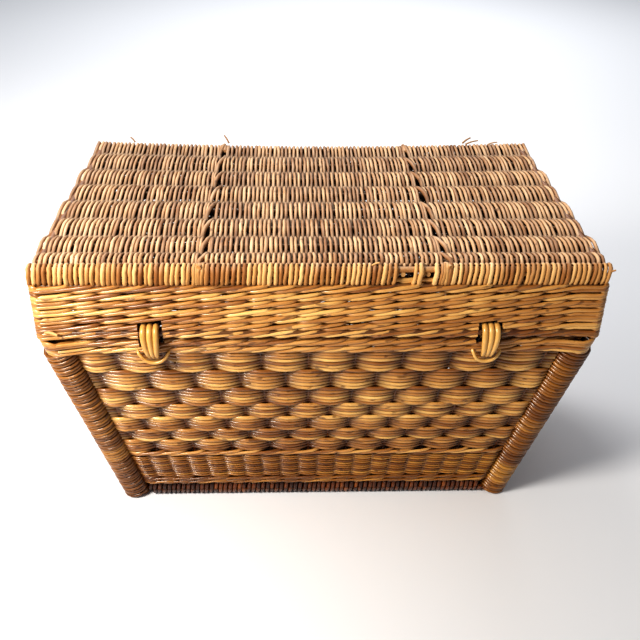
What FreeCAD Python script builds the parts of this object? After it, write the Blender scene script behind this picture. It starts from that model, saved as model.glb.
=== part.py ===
import FreeCAD, Part
import os
import Sketcher

# A wicker storage trunk: a body of willow woven on leaning stakes, and a deep lid
# that turns on its own back border rod. Origin under the middle of the base, front
# at -Y, right at +X, up at +Z, millimetres.

doc = FreeCAD.newDocument("WickerTrunk")
dim = doc.addObject("Spreadsheet::Sheet", "Dim")

drivingSizes = [
    ("LidHalfX", 360, "half width of the lid"),
    ("LidHalfY", 236, "half depth of the lid"),
    ("LidTop", 434, "height of the lid's upper face"),
    ("LidPanel", 17, "thickness of the woven lid top"),
    ("RollDrop", 28, "height of the wrapped edge at the lid's front and back"),
    ("LidInset", 1.5, "how far the lid's siding stands back from the wrapped edge"),
    ("LidWall", 14, "thickness of the lid's siding"),
    ("LidBase", 328.5, "underside of the lid's border"),
    ("LidBorderTop", 344, "top of the lid's border"),
    ("LidBorderDeep", 15, "depth of the lid's border"),
    ("LidStickRadius", 4, "radius of the sticks that the lid top is woven on"),
    ("LidStickCount", 9, "sticks in the lid top"),
    ("LidStickEdge", 8, "first stick's distance from the lid's edge"),
    ("PairingLeft", -150, "middle of the left pairing line"),
    ("PairingRight", 157, "middle of the right pairing line"),
    ("PairingWide", 14, "width of a pairing line"),
    ("EdgeRodRadius", 6, "radius of the rods along the lid's sides"),
    ("LidCornerRadius", 5.5, "radius of the lid's corner sticks"),
    ("LidCornerIn", 8, "corner stick's distance from the siding's faces"),
    ("LidStakePitch", 31, "distance between the lid's stakes"),
    ("LidStakeFoot", 356, "height of the lid's stakes' feet, clear of the slots below"),
    ("BaseHalfX", 286, "half width of the body at the floor"),
    ("BaseHalfY", 164, "half depth of the body at the floor"),
    ("LeanX", 0.225, "how far each end wall leans out for each mm of height"),
    ("LeanY", 0.219, "how far the front and back lean out for each mm of height"),
    ("CornerRadius", 16, "radius of a wrapped corner post"),
    ("PostRadius", 11, "radius of a bare corner post"),
    ("WrapFoot", 4, "height at which the post's wrapping starts"),
    ("WallRecess", 3, "how far the walls stand back from the corner posts"),
    ("WallThick", 15, "thickness of the woven walls"),
    ("StakeRadius", 3, "radius of the stakes"),
    ("StakeMargin", 40, "outermost stake's distance from the corner"),
    ("LongStakes", 20, "stakes in the front and in the back"),
    ("ShortStakes", 13, "stakes in each end"),
    ("FloorThick", 16, "thickness of the woven base"),
    ("BaseRoll", 26, "height of the wrapped edge of the base"),
    ("BaseRollDeep", 16, "depth of the wrapped edge of the base"),
    ("FootNotch", 34, "side of the square notch in the base round each corner post"),
    ("BaseStickRadius", 3, "radius of the sticks in the base"),
    ("BaseStickCount", 7, "sticks in the base"),
    ("LowerTop", 104, "top of the fine weaving over the base"),
    ("SidingTop", 311, "top of the slewed siding"),
    ("BorderTop", 327, "top of the body's border"),
    ("BorderHalfX", 358, "half width of the body's border"),
    ("BorderHalfY", 234, "half depth of the body's border"),
    ("BorderDeep", 15, "depth of the body's border"),
    ("StakeHead", 324, "height of the stakes' ends inside the border"),
    ("RollRadius", 7.5, "radius of the two round rods that the hinge wraps hold"),
    ("WrapCane", 3.2, "radius of the hinge wraps' cane"),
    ("WrapGap", 0.4, "clearance between the hinge wraps and the lid's rod"),
    ("WrapPitch", 6.2, "distance between turns of a hinge wrap"),
    ("HingeX", 200.7, "hinge wraps' distance from the middle"),
    ("HingeSlotRadius", 18, "radius of the lid's notch round a hinge wrap"),
    ("SlotWide", 25, "width of the slots round wraps and closures"),
    ("ClosureLeft", -219, "middle of the left closure"),
    ("ClosureRight", 219, "middle of the right closure"),
    ("ClosureCane", 3.4, "radius of the closures' cane"),
    ("ClosurePitch", 7, "distance between a closure's canes"),
    ("ClosureRod", 5, "radius of the border rod that a closure hangs on"),
    ("ClosureGap", 0.5, "clearance between a closure's eye and its rod"),
    ("ClosureSlotRadius", 15, "radius of the lid's slot round a closure's eye"),
    ("ClosureFoot", 308, "height at which a closure's foot turns in"),
    ("FootBend", 6, "radius of the turn at a closure's foot"),
    ("StapleCane", 2.1, "radius of the staples' cane"),
    ("StapleBend", 20, "radius of a staple's curve"),
    ("StapleSweep", 130, "angle that a staple's curve turns through"),
    ("StapleLow", 293, "lowest point of a staple's curve"),
    ("StapleLeg", 14, "length of a staple's legs in the wall"),
    ("EyeInset", 0.5, "the closures' core rod is this far inside the lid's face"),
    ("SlotRoom", 0.5, "room around the hinge wraps in the walls"),
    ("StickRoom", 2, "gap between a stick's end and the rod beside it"),
    ("EdgeRodShort", 6, "how far an edge rod ends before the lid's rolls"),
    ("EdgeRodIn", 0.5, "how far an edge rod goes into the lid's end wall's line"),
    ("EdgeRodLift", 1, "edge rod's height above the underside of the panel"),
    ("SoftEdge", 5, "rounding of the borders and wrapped edges"),
]
for row, (alias, value, note) in enumerate(drivingSizes, start=1):
    dim.set(f"A{row}", note)
    dim.set(f"B{row}", str(value))
    dim.setAlias(f"B{row}", alias)
doc.recompute()

alongX = FreeCAD.Vector(1, 0, 0)
alongY = FreeCAD.Vector(0, 1, 0)
alongZ = FreeCAD.Vector(0, 0, 1)
turnToZ = FreeCAD.Rotation(FreeCAD.Vector(1, 0, 0), 90)
turnToX = FreeCAD.Rotation(FreeCAD.Vector(0, 1, 0), 90)
turnToY = FreeCAD.Rotation(FreeCAD.Vector(1, 0, 0), -90)
nodes = []


def bind(item, **formulas):
    for name, formula in formulas.items():
        item.setExpression(name, formula)


def place(item, x, y, z):
    for axis, formula in zip("xyz", (x, y, z)):
        item.setExpression(f"Placement.Base.{axis}", formula)


def addNode(item, label):
    item.Label = label
    nodes.append(item)
    return item


def compound(name, parts):
    group = doc.addObject("Part::Compound", name)
    group.Links = parts
    return group


def cut(name, base, tools):
    # Takes the tools' space out of the base.
    result = doc.addObject("Part::Cut", name)
    result.Base = base
    result.Tool = tools[0] if len(tools) == 1 else compound(name + "Tools", tools)
    return result


def fuse(name, parts):
    result = doc.addObject("Part::MultiFuse", name)
    result.Shapes = parts
    return result


def rod(name, radius, length, turn, x, y, z):
    # A round rod that starts at x, y, z and runs the way the turn points it.
    item = doc.addObject("Part::Cylinder", name)
    item.Placement.Rotation = turn
    bind(item, Radius=radius, Height=length)
    place(item, x, y, z)
    return item


def half(count, pitch, index):
    # Place of one of a row of things that is centred on 0.
    return f"({pitch} * ({index} - ({count} - 1) / 2))"


# --- profiles padded along X or Y -------------------------------------------------


def outline(sketch, corners):
    # A closed outline through corners given as formulas, each tied to the sheet.
    doc.recompute()
    places = []
    for index in range(len(corners)):
        places.append(FreeCAD.Vector(10 * index, 7 * index * index, 0))
    first = sketch.GeometryCount
    for index, start in enumerate(places):
        end = places[(index + 1) % len(places)]
        sketch.addGeometry(Part.LineSegment(start, end), False)
    for index in range(len(corners)):
        following = first + (index + 1) % len(corners)
        sketch.addConstraint(Sketcher.Constraint("Coincident", first + index, 2, following, 1))
    for index, (across, up) in enumerate(corners):
        for kind, formula in (("DistanceX", across), ("DistanceY", up)):
            line = first + index
            at = sketch.addConstraint(Sketcher.Constraint(kind, -1, 1, line, 1, 10.0 + index))
            sketch.setExpression(f"Constraints[{at}]", formula)


def circle(sketch, across, up, radius):
    line = sketch.addGeometry(Part.Circle(FreeCAD.Vector(5, 5, 0), FreeCAD.Vector(0, 0, 1), 2), False)
    at = sketch.addConstraint(Sketcher.Constraint("Radius", line, 2.0))
    sketch.setExpression(f"Constraints[{at}]", radius)
    for kind, formula in (("DistanceX", across), ("DistanceY", up)):
        at = sketch.addConstraint(Sketcher.Constraint(kind, -1, 1, line, 3, 5.0))
        sketch.setExpression(f"Constraints[{at}]", formula)


def paddedBody(name, plane, corners, start, length, holes=()):
    # A body whose outline lies on a plane and is padded from start along its normal.
    body = doc.addObject("PartDesign::Body", name)
    sketch = body.newObject("Sketcher::SketchObject", name + "Outline")
    for feature in body.Origin.OriginFeatures:
        if feature.Role == plane:
            sketch.AttachmentSupport = (feature, [""])
    sketch.MapMode = "FlatFace"
    sketch.setExpression("AttachmentOffset.Base.z", start)
    outline(sketch, corners)
    for across, up, radius in holes:
        circle(sketch, across, up, radius)
    pad = body.newObject("PartDesign::Pad", name + "Pad")
    pad.Profile = sketch
    pad.setExpression("Length", length)
    body.Tip = pad
    doc.recompute()
    return body


def roundEdges(body, radius, axis, wanted):
    # Rounds the edges of a body that run along an axis and whose two ends pass the test.
    base = body.Tip
    chosen = []
    for index, edge in enumerate(base.Shape.Edges, start=1):
        ends = [vertex.Point for vertex in edge.Vertexes]
        if len(ends) == 2 and all(wanted(point) for point in ends):
            if abs((ends[1] - ends[0]).dot(axis)) > 1:
                chosen.append(f"Edge{index}")
    fillet = body.newObject("PartDesign::Fillet", body.Name + "Rounding")
    fillet.Base = (base, chosen)
    fillet.setExpression("Radius", radius)
    body.Tip = fillet
    doc.recompute()


def rectangle(acrossLow, acrossHigh, upLow, upHigh):
    return [
        (acrossLow, upLow),
        (acrossLow, upHigh),
        (acrossHigh, upHigh),
        (acrossHigh, upLow),
    ]


def barAlongX(name, yLow, yHigh, zLow, zHigh, halfLength):
    corners = rectangle(yLow, yHigh, zLow, zHigh)
    return paddedBody(name, "YZ_Plane", corners, f"-({halfLength})", f"2 * ({halfLength})")


def barAlongY(name, xLow, xHigh, zLow, zHigh, halfLength):
    corners = rectangle(xLow, xHigh, zLow, zHigh)
    return paddedBody(name, "XZ_Plane", corners, f"-({halfLength})", f"2 * ({halfLength})")


# --- the leaning body ---------------------------------------------------------------


def wideAt(height):
    return f"(Dim.BaseHalfX + Dim.LeanX * {height})"


def deepAt(height):
    return f"(Dim.BaseHalfY + Dim.LeanY * {height})"


def leaningRod(name, radius, low, high, across, along):
    # A rod with level ends, from its foot to its head.
    rings = []
    for end, height in (("Foot", low), ("Head", high)):
        ring = doc.addObject("Part::Circle", name + end)
        ring.setExpression("Radius", radius)
        place(ring, across(height), along(height), height)
        rings.append(ring)
    item = doc.addObject("Part::Loft", name)
    item.Sections = rings
    item.Solid = True
    item.Ruled = True
    return item


def leaningBlock(name, low, high, left, right, near, far):
    # A six-sided block with a level top and foot, each outlined by four formulas.
    block = doc.addObject("Part::Wedge", name)
    block.Placement.Rotation = turnToZ
    bind(block, Ymin=low, Ymax=high)
    bind(block, Xmin=left(low), Xmax=right(low), X2min=left(high), X2max=right(high))
    bind(block, Zmin=f"-{far(low)}", Zmax=f"-{near(low)}")
    bind(block, Z2min=f"-{far(high)}", Z2max=f"-{near(high)}")
    return block


corners = {
    "front_left": ("-1", "-1"),
    "front_right": ("1", "-1"),
    "back_left": ("-1", "1"),
    "back_right": ("1", "1"),
}
sides = {
    "front": ("long", "-1"),
    "back": ("long", "1"),
    "left": ("short", "-1"),
    "right": ("short", "1"),
}


def cornerRod(name, signs, radius, low):
    signX, signY = signs
    return leaningRod(
        name,
        radius,
        low,
        "Dim.SidingTop",
        lambda height: f"({signX} * ({wideAt(height)} - Dim.CornerRadius))",
        lambda height: f"({signY} * ({deepAt(height)} - Dim.CornerRadius))",
    )


posts = {}
sleeves = {}
for corner, signs in corners.items():
    posts[corner] = cornerRod("Post_" + corner, signs, "Dim.PostRadius", "0")
    sleeves[corner] = cornerRod("Sleeve_" + corner, signs, "Dim.CornerRadius", "Dim.WrapFoot")
    addNode(posts[corner], "corner_post_" + corner)
    wrapping = cut("Wrapping_" + corner, sleeves[corner], [posts[corner]])
    addNode(wrapping, "corner_wrapping_" + corner)


def wallFoot(side):
    # The front and back stand on the base's wrapped edges, the ends on its flat part.
    return "Dim.BaseRoll" if sides[side][0] == "long" else "Dim.FloorThick"


def stakesOf(side):
    # The stakes of one wall, fanned between its two corner posts.
    way, sign = sides[side]
    isLong = way == "long"
    count = int(dim.LongStakes if isLong else dim.ShortStakes)
    spread, depth = (wideAt, deepAt) if isLong else (deepAt, wideAt)
    rods = []
    for index in range(count):
        share = f"({2 * index / (count - 1) - 1})"

        def along(height, share=share):
            return f"({share} * ({spread(height)} - Dim.StakeMargin))"

        def inward(height):
            return f"({sign} * ({depth(height)} - Dim.WallRecess - Dim.WallThick / 2))"

        across, over = (along, inward) if isLong else (inward, along)
        name = f"Stake_{side}_{index}"
        rods.append(
            leaningRod(name, "Dim.StakeRadius", wallFoot(side), "Dim.StakeHead", across, over)
        )
    return rods


def wallBlock(name, side, low, high):
    # One band of a wall, between the middles of its two corner posts.
    way, sign = sides[side]
    spread, depth = (wideAt, deepAt) if way == "long" else (deepAt, wideAt)

    def outer(height):
        return f"({depth(height)} - Dim.WallRecess)"

    def inner(height):
        return f"({depth(height)} - Dim.WallRecess - Dim.WallThick)"

    def low_end(height):
        return f"(-({spread(height)} - Dim.CornerRadius))"

    def high_end(height):
        return f"({spread(height)} - Dim.CornerRadius)"

    if sign == "1":
        near, far = inner, outer
    else:

        def near(height):
            return f"(-{outer(height)})"

        def far(height):
            return f"(-{inner(height)})"

    if way == "long":
        return leaningBlock(name, low, high, low_end, high_end, near, far)
    return leaningBlock(name, low, high, near, far, low_end, high_end)


stakes = {}
for side in sides:
    stakes[side] = addNode(compound("Stakes_" + side, stakesOf(side)), "stakes_" + side)

# Base: rods woven from front to back on sticks, wrapped round the front and back ones.
floorMiddle = "Dim.FloorThick / 2"
baseStickCount = int(dim.BaseStickCount)
baseStickPitch = f"((Dim.BaseHalfY - Dim.BaseRollDeep / 2) * 2 / ({baseStickCount} - 1))"
baseHalf = "(Dim.BaseHalfX - Dim.WallRecess)"
baseSticks = []
baseHoles = []
for index in range(baseStickCount):
    stickY = half(baseStickCount, baseStickPitch, index)
    baseSticks.append(
        rod(
            f"BaseStick_{index}",
            "Dim.BaseStickRadius",
            f"2 * ({baseHalf} - Dim.FootNotch)",
            turnToX,
            f"-({baseHalf} - Dim.FootNotch)",
            stickY,
            floorMiddle,
        )
    )
addNode(compound("BaseSticks", baseSticks), "base_sticks")
baseOutline = [
    ("-Dim.BaseHalfY", "0"),
    ("-Dim.BaseHalfY", "Dim.BaseRoll"),
    ("-(Dim.BaseHalfY - Dim.BaseRollDeep)", "Dim.BaseRoll"),
    ("-(Dim.BaseHalfY - Dim.BaseRollDeep)", "Dim.FloorThick"),
    ("Dim.BaseHalfY - Dim.BaseRollDeep", "Dim.FloorThick"),
    ("Dim.BaseHalfY - Dim.BaseRollDeep", "Dim.BaseRoll"),
    ("Dim.BaseHalfY", "Dim.BaseRoll"),
    ("Dim.BaseHalfY", "0"),
]
basePanel = paddedBody("BasePanel", "YZ_Plane", baseOutline, f"-{baseHalf}", f"2 * {baseHalf}")
baseEdge = float(dim.BaseHalfY) - 0.1
roundEdges(basePanel, "Dim.SoftEdge", alongX, lambda p: abs(p.y) > baseEdge)
notches = []
for corner, (signX, signY) in corners.items():
    notch = doc.addObject("Part::Box", "Notch_" + corner)
    bind(notch, Length="Dim.FootNotch", Width="Dim.FootNotch", Height="Dim.BaseRoll")
    place(
        notch,
        f"{signX} * (Dim.BaseHalfX - Dim.FootNotch / 2) - Dim.FootNotch / 2",
        f"{signY} * (Dim.BaseHalfY - Dim.FootNotch / 2) - Dim.FootNotch / 2",
        "0",
    )
    notches.append(notch)
addNode(cut("BaseWeave", basePanel, notches + [doc.getObject("BaseSticks")]), "base_weave")

# Closures and hinge wraps: places that other pieces leave room for.
closureHeight = "((Dim.LidBase + Dim.LidBorderTop) / 2)"
closureDepth = "(-(Dim.LidHalfY - Dim.ClosureRod - Dim.EyeInset))"
eyeRadius = "(Dim.ClosureRod + Dim.ClosureGap + Dim.ClosureCane)"
hingeDepth = "(Dim.LidHalfY - Dim.RollRadius)"
hingeHeight = "(Dim.LidBase + Dim.RollRadius)"
lowerRollHeight = "(Dim.BorderTop - Dim.RollRadius)"
wrapRadius = "(Dim.RollRadius + Dim.WrapGap + Dim.WrapCane)"
closurePlaces = {"left": "Dim.ClosureLeft", "right": "Dim.ClosureRight"}
hingePlaces = {"left": "-Dim.HingeX", "right": "Dim.HingeX"}

stapleStart = 270 - float(dim.StapleSweep) / 2
closureSlots = []
staples = {}
stapleLegs = []
for hand, middle in closurePlaces.items():
    closureSlots.append(
        rod(
            "ClosureSlot_" + hand,
            "Dim.ClosureSlotRadius",
            "Dim.SlotWide",
            turnToX,
            f"{middle} - Dim.SlotWide / 2",
            closureDepth,
            closureHeight,
        )
    )
    # Staple: a cane bent into a shallow curve, with both ends run into the wall.
    curve = doc.addObject("Part::Torus", "StapleCurve_" + hand)
    curve.Placement.Rotation = turnToZ * FreeCAD.Rotation(FreeCAD.Vector(0, 0, 1), stapleStart)
    bind(curve, Radius1="Dim.StapleBend", Radius2="Dim.StapleCane", Angle3="Dim.StapleSweep")
    curveTop = "(Dim.StapleLow + Dim.StapleBend)"
    stapleDepth = f"(-({deepAt('Dim.SidingTop')} - Dim.WallRecess / 2))"
    place(curve, middle, stapleDepth, curveTop)
    legs = []
    for end, sign in (("A", "-"), ("B", "")):
        legs.append(
            rod(
                f"StapleLeg_{hand}_{end}",
                "Dim.StapleCane",
                "Dim.StapleLeg",
                turnToY,
                f"{middle} + ({sign}1) * Dim.StapleBend * sin(Dim.StapleSweep / 2 * 1 deg)",
                stapleDepth,
                f"{curveTop} - Dim.StapleBend * cos(Dim.StapleSweep / 2 * 1 deg)",
            )
        )
    stapleLegs += legs
    staples[hand] = (curve, legs)


def stadiumRing(name, x):
    # One turn of cane round the lid's back rod and the body's back rod.
    bends = []
    for end, height, start in (("Top", hingeHeight, 0), ("Low", lowerRollHeight, 180)):
        bend = doc.addObject("Part::Torus", name + end)
        bend.Placement.Rotation = turnSideways * FreeCAD.Rotation(FreeCAD.Vector(0, 0, 1), start)
        bind(bend, Radius1=wrapRadius, Radius2="Dim.WrapCane")
        bend.Angle3 = 180
        place(bend, x, hingeDepth, height)
        bends.append(bend)
    for run, sign in (("Inner", "-"), ("Outer", "+")):
        bends.append(
            rod(
                name + run,
                "Dim.WrapCane",
                f"{hingeHeight} - {lowerRollHeight}",
                FreeCAD.Rotation(),
                x,
                f"{hingeDepth} {sign} {wrapRadius}",
                lowerRollHeight,
            )
        )
    return fuse(name, bends)


# Turns the XY plane into the YZ plane, with X to Y and Y to Z.
turnSideways = FreeCAD.Rotation(FreeCAD.Vector(1, 1, 1), 120)
wrapSlots = []
hingeSlots = []
for hand, middle in hingePlaces.items():
    turns = []
    for index in range(3):
        x = f"{middle} + Dim.WrapPitch * {index - 1}"
        turns.append(stadiumRing(f"HingeTurn_{hand}_{index}", x))
    addNode(fuse("HingeWrap_" + hand, turns), "hinge_wrap_" + hand)
    slotStart = f"{middle} - Dim.SlotWide / 2"
    wrapSlots.append(
        rod(
            "WrapSlot_" + hand,
            f"{wrapRadius} + Dim.WrapCane + Dim.SlotRoom",
            "Dim.SlotWide",
            turnToX,
            slotStart,
            hingeDepth,
            lowerRollHeight,
        )
    )
    hingeSlots.append(
        rod(
            "HingeSlot_" + hand,
            "Dim.HingeSlotRadius",
            "Dim.SlotWide",
            turnToX,
            slotStart,
            hingeDepth,
            hingeHeight,
        )
    )

# Fine weaving low on the wall, then slewed siding, on the same stakes.
bands = {"fine_weave": "Dim.LowerTop", "slewed_siding": "Dim.SidingTop"}
for band, high in bands.items():
    for side in sides:
        low = wallFoot(side) if band == "fine_weave" else "Dim.LowerTop"
        name = f"{band}_{side}"
        tools = [stakes[side]]
        tools += [sleeves[corner] for corner in corners if side in corner.split("_")]
        if band == "slewed_siding" and side == "front":
            tools += stapleLegs
        if band == "slewed_siding" and side == "back":
            tools += wrapSlots
        block = wallBlock("Block_" + name, side, low, high)
        addNode(cut("Wall_" + name, block, tools), name)
for hand, (curve, legs) in staples.items():
    addNode(fuse("Staple_" + hand, [curve] + legs), "closure_staple_" + hand)

# The body's border: a bar of rods on three sides, and a round rod at the back.
borderInnerY = "(Dim.BorderHalfY - Dim.BorderDeep)"
borderInnerX = "(Dim.BorderHalfX - Dim.BorderDeep)"
barEdgeY = float(dim.BorderHalfY) - 0.1
barEdgeX = float(dim.BorderHalfX) - 0.1
bar = barAlongX(
    "BorderFront",
    "-Dim.BorderHalfY",
    f"-{borderInnerY}",
    "Dim.SidingTop",
    "Dim.BorderTop",
    "Dim.BorderHalfX",
)
roundEdges(bar, "Dim.SoftEdge", alongX, lambda p: p.y < -barEdgeY)
addNode(cut("BodyBorderFront", bar, [stakes["front"]] + closureSlots), "body_border_front")
for side, sign in (("left", "-"), ("right", "")):
    limits = [f"{sign}{borderInnerX}", f"{sign}Dim.BorderHalfX"]
    if sign:
        limits.reverse()
    name = "Border_" + side
    bar = barAlongY(name, limits[0], limits[1], "Dim.SidingTop", "Dim.BorderTop", borderInnerY)
    roundEdges(bar, "Dim.SoftEdge", alongY, lambda p: abs(p.x) > barEdgeX)
    addNode(cut("BodyBorder_" + side, bar, [stakes[side]]), "body_border_" + side)
backRod = rod(
    "BorderBack",
    "Dim.RollRadius",
    "2 * Dim.BorderHalfX",
    turnToX,
    "-Dim.BorderHalfX",
    hingeDepth,
    lowerRollHeight,
)
addNode(cut("BodyBorderBack", backRod, [stakes["back"]]), "body_border_back")

# --- the lid ------------------------------------------------------------------------

innerX = "(Dim.LidHalfX - Dim.LidInset)"
innerY = "(Dim.LidHalfY - Dim.LidInset)"
panelLow = "(Dim.LidTop - Dim.LidPanel)"
rollLow = "(Dim.LidTop - Dim.RollDrop)"
rollIn = "(Dim.LidHalfY - Dim.LidPanel)"
lidStickCount = int(dim.LidStickCount)
lidStickPitch = f"((Dim.LidHalfY - Dim.LidStickEdge) * 2 / ({lidStickCount} - 1))"
lidStickHeight = "(Dim.LidTop - Dim.LidPanel / 2)"

lidSticks = []
for index in range(lidStickCount):
    stickY = half(lidStickCount, lidStickPitch, index)
    stickEnd = f"({innerX} - Dim.EdgeRodRadius * 2 - Dim.StickRoom)"
    start = f"-{stickEnd}"
    lidSticks.append(
        rod(
            f"LidStick_{index}",
            "Dim.LidStickRadius",
            f"2 * {stickEnd}",
            turnToX,
            start,
            stickY,
            lidStickHeight,
        )
    )
addNode(compound("LidSticks", lidSticks), "lid_sticks")

edgeRods = {}
for side, sign in (("left", "-1"), ("right", "1")):
    edgeRods[side] = rod(
        "LidEdgeRod_" + side,
        "Dim.EdgeRodRadius",
        f"2 * ({rollIn} - Dim.EdgeRodShort)",
        turnToY,
        f"{sign} * ({innerX} - Dim.EdgeRodRadius + Dim.EdgeRodIn)",
        f"-({rollIn} - Dim.EdgeRodShort)",
        f"{panelLow} + Dim.EdgeRodRadius + Dim.EdgeRodLift",
    )
    addNode(edgeRods[side], "lid_edge_rod_" + side)

lidOutline = [
    ("-Dim.LidHalfY", rollLow),
    ("-Dim.LidHalfY", "Dim.LidTop"),
    ("Dim.LidHalfY", "Dim.LidTop"),
    ("Dim.LidHalfY", rollLow),
    (rollIn, rollLow),
    (rollIn, panelLow),
    (f"-{rollIn}", panelLow),
    (f"-{rollIn}", rollLow),
]
leftLine = "(Dim.PairingLeft - Dim.PairingWide / 2)"
rightLine = "(Dim.PairingRight + Dim.PairingWide / 2)"
middleLeft = "(Dim.PairingLeft + Dim.PairingWide / 2)"
middleRight = "(Dim.PairingRight - Dim.PairingWide / 2)"
lidStrips = {
    "lid_weave_left": ("-Dim.LidHalfX", leftLine),
    "lid_pairing_left": (leftLine, middleLeft),
    "lid_weave_middle": (middleLeft, middleRight),
    "lid_pairing_right": (middleRight, rightLine),
    "lid_weave_right": (rightLine, "Dim.LidHalfX"),
}
lidOuterY = float(dim.LidHalfY) - 0.1
for label, (start, end) in lidStrips.items():
    strip = paddedBody("Strip_" + label, "YZ_Plane", lidOutline, start, f"{end} - {start}")
    roundEdges(strip, "Dim.SoftEdge", alongX, lambda p: abs(p.y) > lidOuterY)
    tools = [doc.getObject("LidSticks")]
    for side in edgeRods:
        if label.endswith("weave_" + side):
            tools.append(edgeRods[side])
    addNode(cut("Cut_" + label, strip, tools), label)

lidCorners = {}
for corner, (signX, signY) in corners.items():
    lidCorners[corner] = rod(
        "LidCorner_" + corner,
        "Dim.LidCornerRadius",
        f"{rollLow} - Dim.LidBorderTop",
        FreeCAD.Rotation(),
        f"{signX} * ({innerX} - Dim.LidCornerIn)",
        f"{signY} * ({innerY} - Dim.LidCornerIn)",
        "Dim.LidBorderTop",
    )
    addNode(lidCorners[corner], "lid_corner_stick_" + corner)


def lidStakesOf(side):
    way, sign = sides[side]
    isLong = way == "long"
    reach = float(dim.LidHalfX if isLong else dim.LidHalfY) - float(dim.LidStakePitch)
    count = int(2 * reach / float(dim.LidStakePitch)) + 1
    outer = innerY if isLong else innerX
    rods = []
    for index in range(count):
        along = half(count, "Dim.LidStakePitch", index)
        across = f"{sign} * ({outer} - Dim.LidWall / 2)"
        x, y = (along, across) if isLong else (across, along)
        name = f"LidStake_{side}_{index}"
        height = f"{rollLow} - Dim.LidStakeFoot"
        rods.append(rod(name, "Dim.StakeRadius", height, FreeCAD.Rotation(), x, y, "Dim.LidStakeFoot"))
    return rods


lidBackRod = rod(
    "LidBackRod",
    "Dim.RollRadius",
    "2 * Dim.BorderHalfX",
    turnToX,
    "-Dim.BorderHalfX",
    hingeDepth,
    hingeHeight,
)
addNode(lidBackRod, "lid_border_back")

lidWallInY = f"({innerY} - Dim.LidWall)"
lidWallInX = f"({innerX} - Dim.LidWall)"
outerWallY = float(dim.LidHalfY) - float(dim.LidInset) - 0.1
lidWalls = {
    "front": ("LidWallFront", f"-{innerY}", f"-{lidWallInY}", "Dim.LidBorderTop", rollLow, closureSlots),
    "back": ("LidWallBack", lidWallInY, innerY, hingeHeight, rollLow, hingeSlots),
    "left": ("LidWallLeft", f"-{innerX}", f"-{lidWallInX}", "Dim.LidBorderTop", panelLow, []),
    "right": ("LidWallRight", lidWallInX, innerX, "Dim.LidBorderTop", panelLow, []),
}
for side, (name, low, high, foot, head, rooms) in lidWalls.items():
    lidStakes = compound("LidStakes_" + side, lidStakesOf(side))
    if sides[side][0] == "long":
        wall = barAlongX(name, low, high, foot, head, innerX)
        roundEdges(wall, "Dim.SoftEdge", alongZ, lambda p: abs(p.y) > outerWallY)
        if side == "back":
            wall = cut("LidWallOverRod", wall, [lidBackRod])
        tools = [lidStakes] + rooms
        tools += [lidCorners[corner] for corner in corners if corner.startswith(side)]
    else:
        wall = barAlongY(name, low, high, foot, head, rollIn)
        tools = [lidStakes]
    addNode(lidStakes, "lid_stakes_" + side)
    addNode(cut("Cut" + name, wall, tools), "lid_siding_" + side)

# The lid's border: a bar on three sides. The front one has slots where its core rod is
# bare, and the closures' eyes go round that rod.
lidBarInY = "(Dim.LidHalfY - Dim.LidBorderDeep)"
lidBarInX = "(Dim.LidHalfX - Dim.LidBorderDeep)"
lidOuterX = float(dim.LidHalfX) - 0.1
bar = barAlongX(
    "LidBarFront", "-Dim.LidHalfY", f"-{lidBarInY}", "Dim.LidBase", "Dim.LidBorderTop", "Dim.LidHalfX"
)
roundEdges(bar, "Dim.SoftEdge", alongX, lambda p: p.y < -lidOuterY)
slottedBar = cut("LidBarFrontSlotted", bar, closureSlots)
coreRod = rod(
    "ClosureCore",
    "Dim.ClosureRod",
    "2 * Dim.BorderHalfX",
    turnToX,
    "-Dim.BorderHalfX",
    closureDepth,
    closureHeight,
)
addNode(fuse("LidBorderFront", [slottedBar, coreRod]), "lid_border_front")
for side, sign in (("left", "-"), ("right", "")):
    limits = [f"{sign}{lidBarInX}", f"{sign}Dim.LidHalfX"]
    if sign:
        limits.reverse()
    bar = barAlongY("LidBar_" + side, limits[0], limits[1], "Dim.LidBase", "Dim.LidBorderTop", lidBarInY)
    roundEdges(bar, "Dim.SoftEdge", alongY, lambda p: abs(p.x) > lidOuterX)
    addNode(cut("LidBorder_" + side, bar, [doc.getObject("LidWallBack")]), "lid_border_" + side)

# Closures: each is three canes side by side with an eye round the border rod, a
# straight front and a foot that turns in over the staple.
for hand, middle in closurePlaces.items():
    canes = []
    for index in range(3):
        x = f"{middle} + Dim.ClosurePitch * {index - 1}"
        name = f"Closure_{hand}_{index}"
        eye = doc.addObject("Part::Torus", name + "Eye")
        eye.Placement.Rotation = turnSideways * FreeCAD.Rotation(FreeCAD.Vector(0, 0, 1), -90)
        bind(eye, Radius1=eyeRadius, Radius2="Dim.ClosureCane")
        eye.Angle3 = 270
        place(eye, x, closureDepth, closureHeight)
        front = f"{closureDepth} - {eyeRadius}"
        run = rod(
            name + "Run",
            "Dim.ClosureCane",
            f"{closureHeight} - Dim.ClosureFoot",
            FreeCAD.Rotation(),
            x,
            front,
            "Dim.ClosureFoot",
        )
        foot = doc.addObject("Part::Torus", name + "Foot")
        foot.Placement.Rotation = turnSideways * FreeCAD.Rotation(FreeCAD.Vector(0, 0, 1), 180)
        bind(foot, Radius1="Dim.FootBend", Radius2="Dim.ClosureCane")
        foot.Angle3 = 90
        place(foot, x, f"{front} + Dim.FootBend", "Dim.ClosureFoot")
        tip = doc.addObject("Part::Sphere", name + "Tip")
        bind(tip, Radius="Dim.ClosureCane")
        place(tip, x, f"{front} + Dim.FootBend", "Dim.ClosureFoot - Dim.FootBend")
        canes.append(fuse(name, [eye, run, foot, tip]))
    addNode(compound("Closure_" + hand, canes), "closure_" + hand)

doc.recompute()

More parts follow.
